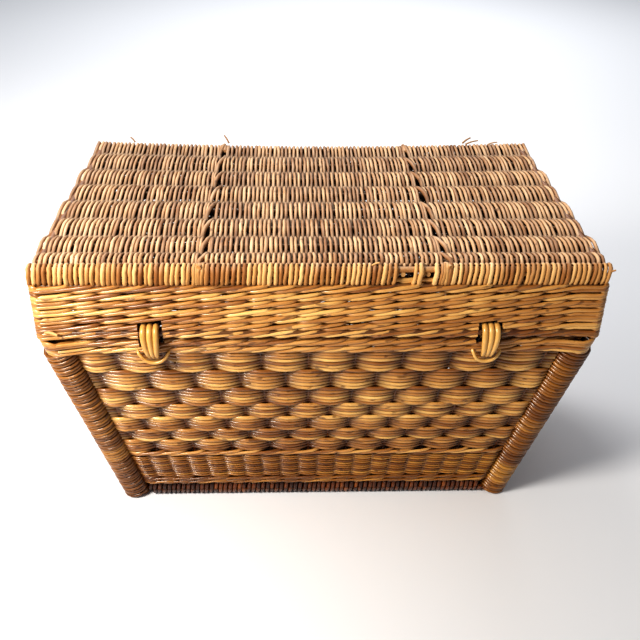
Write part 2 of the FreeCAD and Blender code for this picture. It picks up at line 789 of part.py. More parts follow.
faults = []
for item in doc.Objects:
    if set(item.State) & {"Invalid", "Error"}:
        faults.append(item.Name)
for node in nodes:
    if node.Shape.isNull() or not node.Shape.isValid() or not node.Shape.Solids:
        faults.append(node.Label)
if faults:
    raise RuntimeError("not built: " + ", ".join(faults))

os.makedirs("parts", exist_ok=True)
for node in nodes:
    node.Shape.exportStep(f"parts/{node.Label}.step")
    solids = len(node.Shape.Solids)
    print(f"{node.Label}: {solids} solid(s), {node.Shape.Volume / 1000:.1f} cm3")
print(f"{len(nodes)} nodes")
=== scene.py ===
import bpy
import math
import numpy as np
from mathutils import Matrix, Vector


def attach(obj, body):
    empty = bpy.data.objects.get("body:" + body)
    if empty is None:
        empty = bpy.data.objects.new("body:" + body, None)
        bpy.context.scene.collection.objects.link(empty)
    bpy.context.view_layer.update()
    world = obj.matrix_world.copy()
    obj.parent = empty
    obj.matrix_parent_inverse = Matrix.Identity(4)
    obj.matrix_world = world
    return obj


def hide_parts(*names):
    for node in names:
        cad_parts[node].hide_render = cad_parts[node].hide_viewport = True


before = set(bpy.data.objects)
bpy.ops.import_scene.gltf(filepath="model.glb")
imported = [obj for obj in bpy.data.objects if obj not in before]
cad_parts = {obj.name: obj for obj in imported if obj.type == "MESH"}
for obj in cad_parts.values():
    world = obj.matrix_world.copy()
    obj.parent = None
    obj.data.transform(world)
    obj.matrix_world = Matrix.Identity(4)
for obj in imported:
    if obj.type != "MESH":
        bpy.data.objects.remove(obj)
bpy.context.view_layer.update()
mm = 0.001
chance = np.random.default_rng(11)
print("frame loaded")

class Wire:
    # a shader socket that takes part in sums
    def __init__(self, shader, socket):
        self.shader = shader
        self.socket = socket

    def sum(self, operation, first, second):
        return self.shader.node("ShaderNodeMath", {"operation": operation}, {0: first, 1: second})

    def __add__(self, other):
        return self.sum("ADD", self, other)

    def __radd__(self, other):
        return self.sum("ADD", other, self)

    def __sub__(self, other):
        return self.sum("SUBTRACT", self, other)

    def __rsub__(self, other):
        return self.sum("SUBTRACT", other, self)

    def __mul__(self, other):
        return self.sum("MULTIPLY", self, other)

    def __rmul__(self, other):
        return self.sum("MULTIPLY", other, self)


class Shader:
    def __init__(self, name):
        self.material = bpy.data.materials.new(name)
        self.material.use_nodes = True
        self.tree = self.material.node_tree
        self.surface = self.tree.nodes["Principled BSDF"]

    def node(self, kind, settings, inputs, output=0):
        item = self.tree.nodes.new(kind)
        for name, value in settings.items():
            if name == "stops":
                ramp = item.color_ramp
                while len(ramp.elements) < len(value):
                    ramp.elements.new(0.5)
                for element, (place, colour) in zip(ramp.elements, value):
                    element.position = place
                    element.color = (*colour, 1)
            else:
                setattr(item, name, value)
        for name, value in inputs.items():
            self.join(item.inputs[name], value)
        return Wire(self, item.outputs[output])

    def join(self, socket, value):
        if isinstance(value, Wire):
            self.tree.links.new(value.socket, socket)
        else:
            socket.default_value = value

    def give(self, **inputs):
        for name, value in inputs.items():
            self.join(self.surface.inputs[name.replace("_", " ")], value)

    def noise(self, vector, scale, detail=2.0, rough=0.5):
        inputs = {"Vector": vector, "Scale": scale, "Detail": detail, "Roughness": rough}
        return self.node("ShaderNodeTexNoise", {}, inputs, "Fac")

    def attribute(self, name, output="Fac"):
        return self.node("ShaderNodeAttribute", {"attribute_name": name}, {}, output)

    def stretched(self, vector, scale):
        settings = {"vector_type": "POINT"}
        return self.node("ShaderNodeMapping", settings, {"Vector": vector, "Scale": scale}, "Vector")

    def clamped(self, value, low, high, newLow=0.0, newHigh=1.0):
        inputs = {"Value": value, "From Min": low, "From Max": high, "To Min": newLow, "To Max": newHigh}
        return self.node("ShaderNodeMapRange", {"clamp": True}, inputs)

    def mix(self, share, first, second):
        settings = {"data_type": "RGBA", "blend_type": "MIX"}
        return self.node("ShaderNodeMix", settings, {0: share, 6: first, 7: second}, 2)


def fromScreen(red, green, blue):
    # screen colour, 0 to 255, to a linear one
    linear = []
    for value in (red, green, blue):
        value /= 255
        linear.append(value / 12.92 if value < 0.04045 else ((value + 0.055) / 1.055) ** 2.4)
    return tuple(linear)


# how much finer a pattern is across a strand than along it, and where each mask begins and ends
grainScales = {"fibres": (14, 900, 900), "blotches": (22, 60, 60), "knots": (70, 160, 160)}
masks = {"knot": (0.72, 0.78), "tuck": (0.1, 0.85), "upward": (0.1, 0.95), "dusty": (0.3, 0.7),
         "gloss": (0.4, 1.2)}
frontRoll = {"front": -0.229, "behind": -0.223, "waver": 0.012}


def rodMaterial(name, look):
    # willow rod: each strand has a tone of its own, long fibres and knots, and painted shade (the dark
    # tuck) where it dives behind or lies under another part
    shader = Shader(name)
    grain = shader.attribute("grain", "Vector")
    tone = shader.attribute("tone")
    tuck = shader.attribute("tuck")
    place = shader.node("ShaderNodeTexCoord", {}, {}, "Object")
    fibres = shader.noise(shader.stretched(grain, grainScales["fibres"]), 1.0, 3.0, 0.6)
    blotches = shader.noise(shader.stretched(grain, grainScales["blotches"]), 1.0, 2.0)
    patches = shader.noise(place, look["patchScale"], 2.0)
    knots = shader.noise(shader.stretched(grain, grainScales["knots"]), 1.0, 0.0)
    shade = tone * look["toneShare"] + fibres * look["fibreShare"] + blotches * look["blotchShare"]
    shade = shade + patches * look["patchShare"] - look["darker"]
    colour = shader.node("ShaderNodeValToRGB", {"stops": look["stops"]}, {"Fac": shade}, "Color")
    knotMask = shader.clamped(knots, *masks["knot"]) * look["knotShare"]
    colour = shader.mix(knotMask, colour, (*look["knot"], 1))
    # painted shade: the colour turns towards the deep colour as far as the tuck value says
    tuckShadeMask = shader.clamped(tuck, *masks["tuck"]) * look["tuckShadeShare"]
    colour = shader.mix(tuckShadeMask, colour, (*look["deep"], 1))
    if "rollStops" in look:
        front = shader.node("ShaderNodeSeparateXYZ", {}, {"Vector": place}, "Y")
        wavering = front + (blotches - 0.5) * frontRoll["waver"]
        isRoll = shader.clamped(wavering, frontRoll["front"], frontRoll["behind"], 1.0, 0.0)
        stops = {"stops": look["rollStops"]}
        glossy = shader.node("ShaderNodeValToRGB", stops, {"Fac": shade}, "Color")
        colour = shader.mix(isRoll, colour, glossy)
    if "dust" in look:
        top = shader.node("ShaderNodeNewGeometry", {}, {}, "Normal")
        up = shader.node("ShaderNodeSeparateXYZ", {}, {"Vector": top}, "Z")
        settled = shader.clamped(up, *masks["upward"]) * shader.clamped(blotches, *masks["dusty"])
        colour = shader.mix(settled * look["dustShare"], colour, (*look["dust"], 1))
    rough = shader.clamped(fibres + blotches * 0.6, *masks["gloss"], look["smooth"], look["rough"])
    relief = {"Strength": look["bump"], "Distance": look["relief"], "Height": fibres + blotches}
    bump = shader.node("ShaderNodeBump", {}, relief)
    shader.give(Base_Color=colour, Roughness=rough, Normal=bump)
    shader.surface.inputs["Coat Weight"].default_value = look["coat"]
    shader.surface.inputs["Coat Roughness"].default_value = look["coatRough"]
    shader.surface.inputs["Specular IOR Level"].default_value = look["specular"]
    return shader.material


# in each look, deep is the colour of the painted shade where a strand dives or lies under another part
honeyLook = {
    "stops": [
        (0.0, fromScreen(70, 34, 10)),
        (0.28, fromScreen(134, 84, 36)),
        (0.5, fromScreen(186, 134, 72)),
        (0.75, fromScreen(222, 180, 110)),
        (1.0, fromScreen(246, 218, 158)),
    ],
    "toneShare": 0.45, "fibreShare": 0.32, "blotchShare": 0.34, "patchShare": 0.5, "darker": 0.35,
    "patchScale": 5.5, "knot": fromScreen(70, 30, 8), "knotShare": 0.6, "deep": fromScreen(62, 26, 4),
    "tuckShadeShare": 0.85, "smooth": 0.22, "rough": 0.45, "bump": 0.5, "relief": 0.0006, "coat": 0.4,
    "coatRough": 0.14, "specular": 0.6,
}
weatheredLook = dict(
    honeyLook,
    stops=[
        (0.0, fromScreen(84, 50, 28)),
        (0.3, fromScreen(146, 104, 70)),
        (0.55, fromScreen(196, 156, 116)),
        (0.8, fromScreen(224, 190, 152)),
        (1.0, fromScreen(240, 214, 180)),
    ],
    deep=fromScreen(34, 15, 6), tuckShadeShare=0.94, smooth=0.5, rough=0.8, bump=0.8, coat=0.0,
    specular=0.35, dust=fromScreen(226, 200, 174), dustShare=0.45, patchShare=0.35, darker=0.26,
    rollStops=[
        (0.0, fromScreen(92, 48, 16)),
        (0.3, fromScreen(150, 100, 52)),
        (0.55, fromScreen(202, 156, 98)),
        (0.8, fromScreen(232, 194, 138)),
        (1.0, fromScreen(250, 226, 168)),
    ],
)
fineLook = dict(
    honeyLook,
    stops=[
        (0.0, fromScreen(58, 26, 4)),
        (0.3, fromScreen(108, 62, 16)),
        (0.55, fromScreen(150, 98, 34)),
        (0.8, fromScreen(190, 140, 66)),
        (1.0, fromScreen(220, 180, 106)),
    ],
    tuckShadeShare=0.75,
)
darkLook = dict(
    honeyLook,
    stops=[
        (0.0, fromScreen(34, 12, 2)),
        (0.35, fromScreen(72, 32, 6)),
        (0.6, fromScreen(116, 60, 14)),
        (0.85, fromScreen(168, 98, 30)),
        (1.0, fromScreen(210, 144, 62)),
    ],
    deep=fromScreen(24, 8, 2),
)
caneLook = dict(
    honeyLook,
    stops=[
        (0.0, fromScreen(140, 92, 38)),
        (0.35, fromScreen(180, 130, 62)),
        (0.6, fromScreen(206, 158, 86)),
        (0.85, fromScreen(222, 180, 108)),
        (1.0, fromScreen(234, 200, 136)),
    ],
    knot=fromScreen(150, 100, 50), tuckShadeShare=0.5, smooth=0.3, rough=0.5, bump=0.25,
    patchShare=0.2, darker=0.15,
)
honeyWillow = rodMaterial("honeyWillow", honeyLook)
weatheredWillow = rodMaterial("weatheredWillow", weatheredLook)
fineWillow = rodMaterial("fineWillow", fineLook)
darkWillow = rodMaterial("darkWillow", darkLook)
smoothCane = rodMaterial("smoothCane", caneLook)


stickLook = {"grain": (420, 420, 26), "blotches": 30.0, "contrast": (0.3, 0.8),
             "gloss": (0.2, 0.8, 0.35, 0.6), "bump": 0.4, "relief": 0.0005}


def stickMaterial(name, pale, deep):
    # peeled wood of the CAD's own sticks and posts, grain along the upright
    shader = Shader(name)
    place = shader.node("ShaderNodeTexCoord", {}, {}, "Object")
    fibres = shader.noise(shader.stretched(place, stickLook["grain"]), 1.0, 3.0, 0.6)
    blotches = shader.noise(place, stickLook["blotches"])
    share = shader.clamped(fibres * 0.6 + blotches * 0.5, *stickLook["contrast"])
    colour = shader.mix(share, (*deep, 1), (*pale, 1))
    relief = {"Strength": stickLook["bump"], "Distance": stickLook["relief"], "Height": fibres}
    bump = shader.node("ShaderNodeBump", {}, relief)
    rough = shader.clamped(fibres, *stickLook["gloss"])
    shader.give(Base_Color=colour, Roughness=rough, Normal=bump)
    return shader.material


postWood = stickMaterial("postWood", fromScreen(176, 122, 66), fromScreen(110, 62, 26))
stickWood = stickMaterial("stickWood", fromScreen(150, 100, 56), fromScreen(84, 46, 20))
for name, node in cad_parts.items():
    node.data.materials.clear()
    node.data.materials.append(postWood if "post" in name else stickWood)
print("materials ready")

# sides of a tube by kind, and how the pattern and tone differ between strands
rodSides, fineSides, stapleSides, caneSides = 8, 6, 10, 12
strandTone = {"grainSpan": 50, "evenness": 1.4}


def strandPiece(name, strands, body, replaced, material=honeyWillow,
                sides=rodSides):
    # strands is a list of points, radii and tuck, the painted shade along each; they become one mesh of
    # tubes
    curve = bpy.data.curves.new(name, "CURVE")
    curve.dimensions = "3D"
    curve.bevel_depth = 1.0
    curve.bevel_resolution = sides // 2 - 2
    curve.use_fill_caps = True
    for points, radii, tuck in strands:
        spline = curve.splines.new("POLY")
        spline.points.add(len(points) - 1)
        spline.points.foreach_set("co", np.c_[points, np.ones(len(points))].ravel())
        spline.points.foreach_set("radius", np.asarray(radii, float))
    holder = bpy.data.objects.new(name + "Curve", curve)
    bpy.context.collection.objects.link(holder)
    bpy.context.view_layer.update()
    shown = holder.evaluated_get(bpy.context.evaluated_depsgraph_get())
    mesh = bpy.data.meshes.new_from_object(shown)
    mesh.name = name
    bpy.data.objects.remove(holder)
    bpy.data.curves.remove(curve)
    around = 2 * np.pi * np.arange(sides) / sides
    rings = []
    evenness = strandTone["evenness"]
    for points, radii, tuck in strands:
        steps = np.linalg.norm(np.diff(points, axis=0), axis=1)
        along = np.concatenate([[0], np.cumsum(steps)]) + chance.uniform(0, strandTone["grainSpan"])
        ring = np.stack(
            [
                np.repeat(along, sides),
                np.outer(radii, np.cos(around)).ravel(),
                np.outer(radii, np.sin(around)).ravel(),
                np.full(len(points) * sides, chance.beta(evenness, evenness)),
                np.repeat(tuck, sides),
            ],
            axis=1,
        )
        rings.append(ring)
    # a converted curve lists the end caps first, last strand's foremost
    caps = [end for ring in reversed(rings) for end in (ring[-sides:], ring[:sides])]
    facts = np.concatenate(caps + rings)
    if len(facts) != len(mesh.vertices):
        raise RuntimeError(f"{name}: {len(facts)} strand points, {len(mesh.vertices)} vertices")
    grain = np.ascontiguousarray(facts[:, :3]).ravel()
    mesh.attributes.new("grain", "FLOAT_VECTOR", "POINT").data.foreach_set("vector", grain)
    for column, word in ((3, "tone"), (4, "tuck")):
        values = np.ascontiguousarray(facts[:, column])
        mesh.attributes.new(word, "FLOAT", "POINT").data.foreach_set("value", values)
    mesh.materials.clear()
    mesh.materials.append(material)
    piece = bpy.data.objects.new(name, mesh)
    bpy.context.collection.objects.link(piece)
    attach(piece, body)
    if replaced:
        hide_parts(*replaced)
    print(name, len(strands), "strands", sum(len(p.vertices) - 2 for p in mesh.polygons), "triangles")
    return piece


planSteps = {"roundCorner": 5, "besideStake": 3, "slack": 0.1}


def wallPlan(size, goesRound):
    # stations round the walls: each stake, then turns round the corner post or a dip beside it
    walls = [((1, 0), (0, -1)), ((0, 1), (1, 0)), ((-1, 0), (0, 1)), ((0, -1), (-1, 0))]
    stations, runs = [], []
    for number, (way, normal) in enumerate(walls):
        way, normal = np.array(way, float), np.array(normal, float)
        isLong = number % 2 == 0
        reach, reachLean = (size["halfX"], size["leanX"]) if isLong else (size["halfY"], size["leanY"])
        depth, depthLean = (size["halfY"], size["leanY"]) if isLong else (size["halfX"], size["leanX"])
        places = np.linspace(-1, 1, size["longStakes"] if isLong else size["shortStakes"])
        places = places * (reach - size["margin"])
        first = len(stations)
        if not goesRound:
            places = np.concatenate([[size["dip"] - reach], places, [reach - size["dip"]]])
        for place in places:
            lean = way * reachLean * place / reach + normal * depthLean
            isStake = abs(place) < reach - size["margin"] + planSteps["slack"]
            stations.append((way * place + normal * (depth - size["inset"]), lean, normal, isStake))
        runs.append((first, len(stations) - 1))
        if goesRound:
            for turn in np.linspace(0, np.pi / 2, planSteps["roundCorner"]):
                centre = way * (reach - size["cornerIn"]) + normal * (depth - size["cornerIn"])
                lean = way * reachLean + normal * depthLean
                outward = np.cos(turn) * normal + np.sin(turn) * way
                stations.append((centre, lean, outward, False))
    start, growth, outward, stake = (np.array(values) for values in zip(*stations))
    plan = {"start": start, "growth": growth, "outward": outward, "stake": stake}
    plan["count"] = len(stake)
    plan["index"] = np.cumsum(stake) - 1
    plan["stakes"] = int(stake.sum())
    numbers = np.flatnonzero(stake)
    ends = np.concatenate([[numbers[-1] - len(stake)], numbers, [len(stake) + numbers[0]]])
    plan["place"] = np.interp(np.arange(len(stake)), ends, np.arange(-1, len(numbers) + 1))
    plan["runs"] = None if goesRound else runs
    first, second, share = [], [], []
    plan["at"] = []
    for number in range(len(stake)):
        following = (number + 1) % len(stake)
        both = stake[number] and stake[following]
        neither = not stake[number] and not stake[following]
        steps = size["steps"] if both else 1 if neither else planSteps["besideStake"]
        plan["at"].append(len(first))
        for step in range(steps):
            first.append(number)
            second.append(following)
            share.append(step / steps)
    plan.update(first=np.array(first), second=np.array(second), share=np.array(share))
    return plan


def ringRows(plan, begin, stations):
    # the samples from station begin over a number of stations
    count, total = plan["count"], len(plan["first"])
    low = plan["at"][begin % count]
    high = plan["at"][(begin + stations) % count] + 1
    if high <= low + 1 or stations >= count:
        high += total
    rows = np.arange(low, high) % total
    return plan["first"][rows], plan["second"][rows], plan["share"][rows]


def ringPoints(plan, a, b, t, z, side):
    t = t[:, None]
    base = plan["start"][a] * (1 - t) + plan["start"][b] * t
    lean = plan["growth"][a] * (1 - t) + plan["growth"][b] * t
    normal = plan["outward"][a] * (1 - t) + plan["outward"][b] * t
    normal /= np.linalg.norm(normal, axis=1, keepdims=True)
    return np.c_[base + lean * z[:, None] + normal * side[:, None], z]


dive = 1.7  # how late a strand goes in


def ringStrand(plan, height, offset, rise, begin, stations):
    # offset and rise have a value at each station; a strand stays out and dives close to the stake
    a, b, t = ringRows(plan, begin, stations)
    smooth = (1 - np.cos(np.pi * t)) / 2
    z = height + rise[a] * (1 - smooth) + rise[b] * smooth
    share = np.where(offset[a] > offset[b], t ** dive, 1 - (1 - t) ** dive)
    side = offset[a] * (1 - share) + offset[b] * share
    return ringPoints(plan, a, b, t, z, side), side


# a rod's length in steps of the wall, its taper from butt to tip, and how rods differ
rodSize = {"least": 14, "most": 40, "leftover": 6, "butt": 1.06, "tip": 0.92,
           "thin": 0.94, "thick": 1.06}


def rodEnds(plan, hidden, first, last):
    # cuts a course into rods that begin and end behind stakes
    ends = []
    place = first
    while place < last:
        following = place + int(chance.integers(rodSize["least"], rodSize["most"]))
        while following < last and not hidden[following % plan["count"]]:
            following += 1
        following = last if following > last - rodSize["leftover"] else following
        ends.append((place, following - place))
        place = following
    return ends


def woundRing(plan, height, offset, rise, radius, wave=0.0):
    # one course round the trunk, made of rods laid end to end
    hidden = plan["stake"] & (offset < 0)
    runs = plan["runs"]
    if runs is None:
        first = int(chance.choice(np.flatnonzero(hidden)))
        runs = [(first, first + plan["count"])]
    strands = []
    amp = np.abs(offset[plan["stake"]]).max()
    for first, last in runs:
        for place, length in rodEnds(plan, hidden, first, last):
            jitter = chance.normal(0, wave, plan["count"])
            points, side = ringStrand(plan, height, offset, rise + jitter, place, length)
            taper = np.linspace(rodSize["butt"], rodSize["tip"], len(points))
            if chance.random() < 0.5:
                taper = taper[::-1]
            # painted shade: the further the strand runs behind the stakes, the darker
            tuck = np.clip(0.5 - side / (2 * amp), 0, 1)
            radii = radius * taper * mm * chance.uniform(rodSize["thin"], rodSize["thick"])
            strands.append((points * mm, radii, tuck))
    return strands


bodySize = {
    "halfX": 286.0, "halfY": 164.0, "leanX": 0.225, "leanY": 0.219, "margin": 40.0, "inset": 10.5,
    "cornerIn": 16.0, "longStakes": 20, "shortStakes": 13, "steps": 4, "dip": 28.0,
}
lidSize = {
    "halfX": 360.5, "halfY": 234.5, "leanX": 0.0, "leanY": 0.0, "margin": 33.0, "inset": 7.0,
    "cornerIn": 8.0, "longStakes": 22, "shortStakes": 14, "steps": 4,
}
bodyPlan = wallPlan(bodySize, False)
bodyRoundPlan = wallPlan(bodySize, True)
lidPlan = wallPlan(lidSize, True)
sideNames = ("front", "back", "left", "right")
cornerNames = ("front_left", "front_right", "back_left", "back_right")


def nodesOf(start, ends=sideNames):
    return [f"{start}_{end}" for end in ends]


def overUnder(plan, parity, amp, shift, corner):
    # plain weave: out at one stake, in at the next
    sign = np.where((plan["index"] + parity) % 2 == 0, 1.0, -1.0)
    return np.where(plan["stake"], sign * amp + shift, corner)


# a wale's strand leads by this much, climbs along its front and drops behind the stake
waleLine = {"lead": 2.4, "front": 2.2, "climb": 0.42, "crest": 1.4, "butt": 1.05, "tip": 0.93,
            "thin": 0.92, "thick": 1.06}


def waleStrand(plan, wale, height, phase, begin, stations):
    # out over two stakes and in behind the third, climbing all the way along the outside
    a, b, t = ringRows(plan, begin, stations)
    step = (plan["place"][b] - plan["place"][a]) % plan["stakes"]
    turn = (plan["place"][a] + step * t - phase) % 3
    away = np.clip(np.abs(turn - 2), 0, 1)
    side = wale["amp"] * (1 - 2 * ((1 + np.cos(np.pi * away)) / 2) ** waleLine["crest"])
    front = waleLine["front"]
    climb = (turn - waleLine["lead"]) % 3
    back = (climb - front) / (3 - front)
    rise = np.where(climb < front, climb - front / 2, front / 2 * (1 - 2 * back))
    rise *= wale["pitch"] * waleLine["climb"]
    fromStake, toStake = plan["stake"][a], plan["stake"][b]
    bare = np.where(fromStake, np.where(toStake, 0, t), np.where(toStake, 1 - t, 1))
    side = side * (1 - bare) + wale["corner"] * bare
    wander = np.cumsum(chance.normal(0, wale["wave"], len(a)))
    wander -= np.linspace(0, 1, len(a)) * wander[-1]
    z = np.clip(height + rise + np.clip(wander, -1, 1), wale["low"], wale["high"])
    return ringPoints(plan, a, b, t, z, side), side


def waleRows(plan, wale):
    strands = []
    hidden = plan["stake"]
    for row in range(wale["rows"]):
        height = wale["first"] + row * wale["pitch"]
        for phase in range(3):
            shifted = phase + row
            tucked = hidden & ((plan["index"] - shifted) % 3 == 2)
            runs = plan["runs"]
            if runs is None:
                first = int(chance.choice(np.flatnonzero(tucked)))
                runs = [(first, first + plan["count"])]
            for first, last in runs:
                for place, length in rodEnds(plan, tucked, first, last):
                    points, side = waleStrand(plan, wale, height, shifted, place, length)
                    taper = np.linspace(waleLine["butt"], waleLine["tip"], len(points))
                    # painted shade: the further the strand runs behind the stakes, the darker
                    tuck = np.clip(0.5 - side / (2 * wale["amp"]), 0, 1)
                    radii = wale["rodRadius"] * taper
                    radii = radii * chance.uniform(waleLine["thin"], waleLine["thick"])
                    strands.append((points * mm, radii * mm, tuck))
    return strands


def ropeRing(plan, rope):
    # strands laid up round the top or foot of a wall
    a, b, t = ringRows(plan, 0, plan["count"])
    strands = []
    for strand in range(rope["strands"]):
        angle = 2 * np.pi * (np.arange(len(a)) / rope["twist"] + strand / rope["strands"])
        side = rope["offset"] + rope["reach"] * np.cos(angle)
        z = rope["height"] + rope["reach"] * np.sin(angle)
        points = ringPoints(plan, a, b, t, z, side)
        radii = np.full(len(a), rope["rodRadius"] * mm)
        strands.append((points * mm, radii, np.full(len(a), rope["tuck"])))
    return strands


def clearOf(strands, rooms):
    # cuts strands where they cross a room, given as lowest and highest corners in mm
    kept = []
    for points, radii, tuck in strands:
        inside = np.zeros(len(points), bool)
        for low, high in rooms:
            inside |= ((points > np.array(low) * mm) & (points < np.array(high) * mm)).all(axis=1)
        if not inside.any():
            kept.append((points, radii, tuck))
            continue
        edges = np.flatnonzero(np.diff(np.concatenate([[True], inside, [True]]).astype(int)))
        for begin, end in zip(edges[::2], edges[1::2]):
            if end - begin >= 3:
                kept.append((points[begin:end], radii[begin:end], tuck[begin:end]))
    return kept


def straightRod(start, end, radius, tuck, steps):
    share = np.linspace(0, 1, steps)[:, None]
    points = np.array(start) * (1 - share) + np.array(end) * share
    return points * mm, np.full(steps, radius * mm), np.full(steps, tuck)


closureMiddles = (-219.0, 219.0)

# slewed siding: groups of rods worked as one, narrower towards the foot
slew = {"levels": [305, 267, 232.5, 200.5, 174.5, 148, 126, 104], "rods": [7, 6, 6, 5, 5, 4, 4],
        "rodRadius": 2.9, "amp": 3.7, "shift": 0.0, "dip": -1.0, "crest": 1.1, "tight": 0.98,
        "wave": 0.35}
slewStrands = []
for band, (top, low) in enumerate(zip(slew["levels"], slew["levels"][1:])):
    rods = slew["rods"][band]
    middle, pitch = (top + low) / 2, (top - low) / rods
    offset = overUnder(bodyPlan, band, slew["amp"], slew["shift"], slew["dip"])
    spread = np.where(offset > 0, slew["crest"], slew["tight"])
    for rod in range(rods):
        rise = (rod - (rods - 1) / 2) * pitch * spread
        slewStrands += woundRing(bodyPlan, middle, offset, rise, slew["rodRadius"], slew["wave"])
strandPiece("slewedSiding", slewStrands, "trunk_body", nodesOf("slewed_siding"))

# corner posts wound from top to foot, square to their lean
coil = {"foot": 6.2, "head": 309.0, "pitch": 5.5, "rodRadius": 2.6, "radius": 18.0, "endIn": 10.5,
        "sideIn": 16.5, "growth": 0.009, "turnSteps": 16, "fewest": 4, "most": 11, "endTuck": 1.2,
        "wander": (0.5, 0.37), "ripple": (0.25, 1.7), "bulge": (0.35, 0.61), "shading": (0.25, 0.5),
        "thin": 0.95, "thick": 1.05}


def waver(way, turn, start=0.0):
    # way is how far a strand strays and how fast it does
    return way[0] * np.sin(turn * way[1] + start)


for corner in cornerNames:
    signY = -1 if corner.startswith("front") else 1
    signX = -1 if corner.endswith("left") else 1
    leanX, leanY = bodySize["leanX"] - coil["growth"], bodySize["leanY"] - coil["growth"]
    axis = np.array([signX * leanX, signY * leanY, 1.0])
    length = np.linalg.norm(axis)
    axis /= length
    across = np.cross(axis, (0, 1, 0))
    across /= np.linalg.norm(across)
    ahead = np.cross(axis, across)
    rootX, rootY = bodySize["halfX"] - coil["endIn"], bodySize["halfY"] - coil["sideIn"]
    root = np.array([signX * rootX, signY * rootY, 0.0])
    coils = []
    along, end = coil["foot"] * length, coil["head"] * length
    toMiddle = (-signX, -signY, 0)
    inward = math.atan2(np.dot(toMiddle, ahead), np.dot(toMiddle, across))
    while along < end - coil["pitch"] * 1.5:
        turns = int(chance.integers(coil["fewest"], coil["most"]))
        turns = min(turns, int((end - along) / coil["pitch"]))
        steps = turns * coil["turnSteps"] + 1
        turn = np.linspace(0, 2 * np.pi * turns, steps) + inward
        lift = along + np.linspace(0, turns * coil["pitch"], steps)
        lift += waver(coil["wander"], turn, chance.uniform(0, 6)) + waver(coil["ripple"], turn)
        swing = coil["radius"] + coil["growth"] * lift
        swing += waver(coil["bulge"], turn, chance.uniform(0, 6))
        swing[[0, -1]] -= coil["endTuck"]
        points = root + np.outer(lift, axis) + np.outer(swing * np.cos(turn), across)
        points += np.outer(swing * np.sin(turn), ahead)
        tuck = coil["shading"][0] + waver(coil["shading"], turn, chance.uniform(0, 6))
        radius = coil["rodRadius"] * mm * chance.uniform(coil["thin"], coil["thick"])
        coils.append((points * mm, np.full(steps, radius), tuck))
        along += turns * coil["pitch"]
    strandPiece("cornerWinding_" + corner, coils, "trunk_body", ["corner_wrapping_" + corner],
                fineWillow)

# fine single weaving over the base, with a wale under and over it
fine = {"low": 42, "high": 92, "pitch": 2.45, "rodRadius": 1.8, "amp": 4.4, "dip": -1.0, "wave": 0.25}
fineStrands = []
for row in range(int((fine["high"] - fine["low"]) / fine["pitch"])):
    offset = overUnder(bodyPlan, row, fine["amp"], 0.0, fine["dip"])
    height = fine["low"] + (row + 0.5) * fine["pitch"]
    level = np.zeros(bodyPlan["count"])
    fineStrands += woundRing(bodyPlan, height, offset, level, fine["rodRadius"], fine["wave"])
strandPiece("fineWeaving", fineStrands, "trunk_body", nodesOf("fine_weave"),
            fineWillow, fineSides)

footWale = {"first": 30.0, "rows": 2, "pitch": 7.5, "amp": 4.8, "corner": -1.0, "rodRadius": 2.0,
            "wave": 0.1, "low": 27.0, "high": 42.0}
strandPiece("footWale", waleRows(bodyPlan, footWale), "trunk_body", [], fineWillow)
middleWale = {"first": 97.5, "rows": 1, "pitch": 9.0, "amp": 5.2, "corner": -1.0, "rodRadius": 2.4,
              "wave": 0.1, "low": 93.0, "high": 102.0}
strandPiece("middleWale", waleRows(bodyPlan, middleWale), "trunk_body", [])

# wall stakes, set a little in from the middle of the weave, given the dark willow and a light painted
# shade so that they read as the shade of the gaps between the groups
stake = {"low": 3.0, "high": 323.0, "setIn": 3.0, "radius": 2.0, "tuck": 0.3, "points": 12}
stakeRods = []
for number in np.flatnonzero(bodyPlan["stake"]):
    normal = bodyPlan["outward"][number]
    ends = []
    for z in (stake["low"], stake["high"]):
        flat = bodyPlan["start"][number] + bodyPlan["growth"][number] * z - normal * stake["setIn"]
        ends.append((flat[0], flat[1], z))
    stakeRods.append(straightRod(*ends, stake["radius"], stake["tuck"], stake["points"]))
strandPiece("wallStakes", stakeRods, "trunk_body", nodesOf("stakes"), darkWillow)

# the lid's deep waled siding goes down over its border
skirt = {"first": 345.5, "rows": 7, "pitch": 11.0, "amp": 5.6, "corner": 9.0, "rodRadius": 2.8,
         "wave": 0.16, "low": 341.0, "high": 411.0}
skirtStrands = waleRows(lidPlan, skirt)
# two straight rods under each roll: reach, then place, height, thickness and tuck of each, the tuck
# being a dark painted shade as they lie under the roll
underRoll = {"reach": 350, "points": 30, "rods": ((229.0, 403.5, 3.2, 0.7), (227.5, 409.5, 3.0, 0.8))}
for side in (-1, 1):
    for y, z, radius, tuck in underRoll["rods"]:
        start, end = (-underRoll["reach"], side * y, z), (underRoll["reach"], side * y, z)
        skirtStrands.append(straightRod(start, end, radius, tuck, underRoll["points"]))
inRoll = {"above": 405.5, "beyond": 222, "shift": 5.5}
for points, radii, tuck in skirtStrands:
    # the top rows of the front and back run inside the rolls
    deep = (points[:, 2] > inRoll["above"] * mm) & (np.abs(points[:, 1]) > inRoll["beyond"] * mm)
    points[deep, 1] -= np.sign(points[deep, 1]) * inRoll["shift"] * mm
# rooms that no strand crosses, so that closures and corners swing clear: half width, y and z
room = {"slot": (14, -250, -215, 320, 354), "eye": (13, -250, -212, 318, 340),
        "hinge": (340, 215, 250, 320, 346), "back": (348, 218, 250, 310, 330)}


def roomsAt(kind, middles=(0,)):
    half, yLow, yHigh, zLow, zHigh = room[kind]
    return [((x - half, yLow, zLow), (x + half, yHigh, zHigh)) for x in middles]


slotRooms = roomsAt("slot", closureMiddles)
backCorners = [((-380, 231, 330), (-338, 260, 348)), ((338, 231, 330), (380, 260, 348))]
strandPiece("lidSiding", clearOf(skirtStrands, slotRooms + backCorners), "lid",
            nodesOf("lid_siding"))

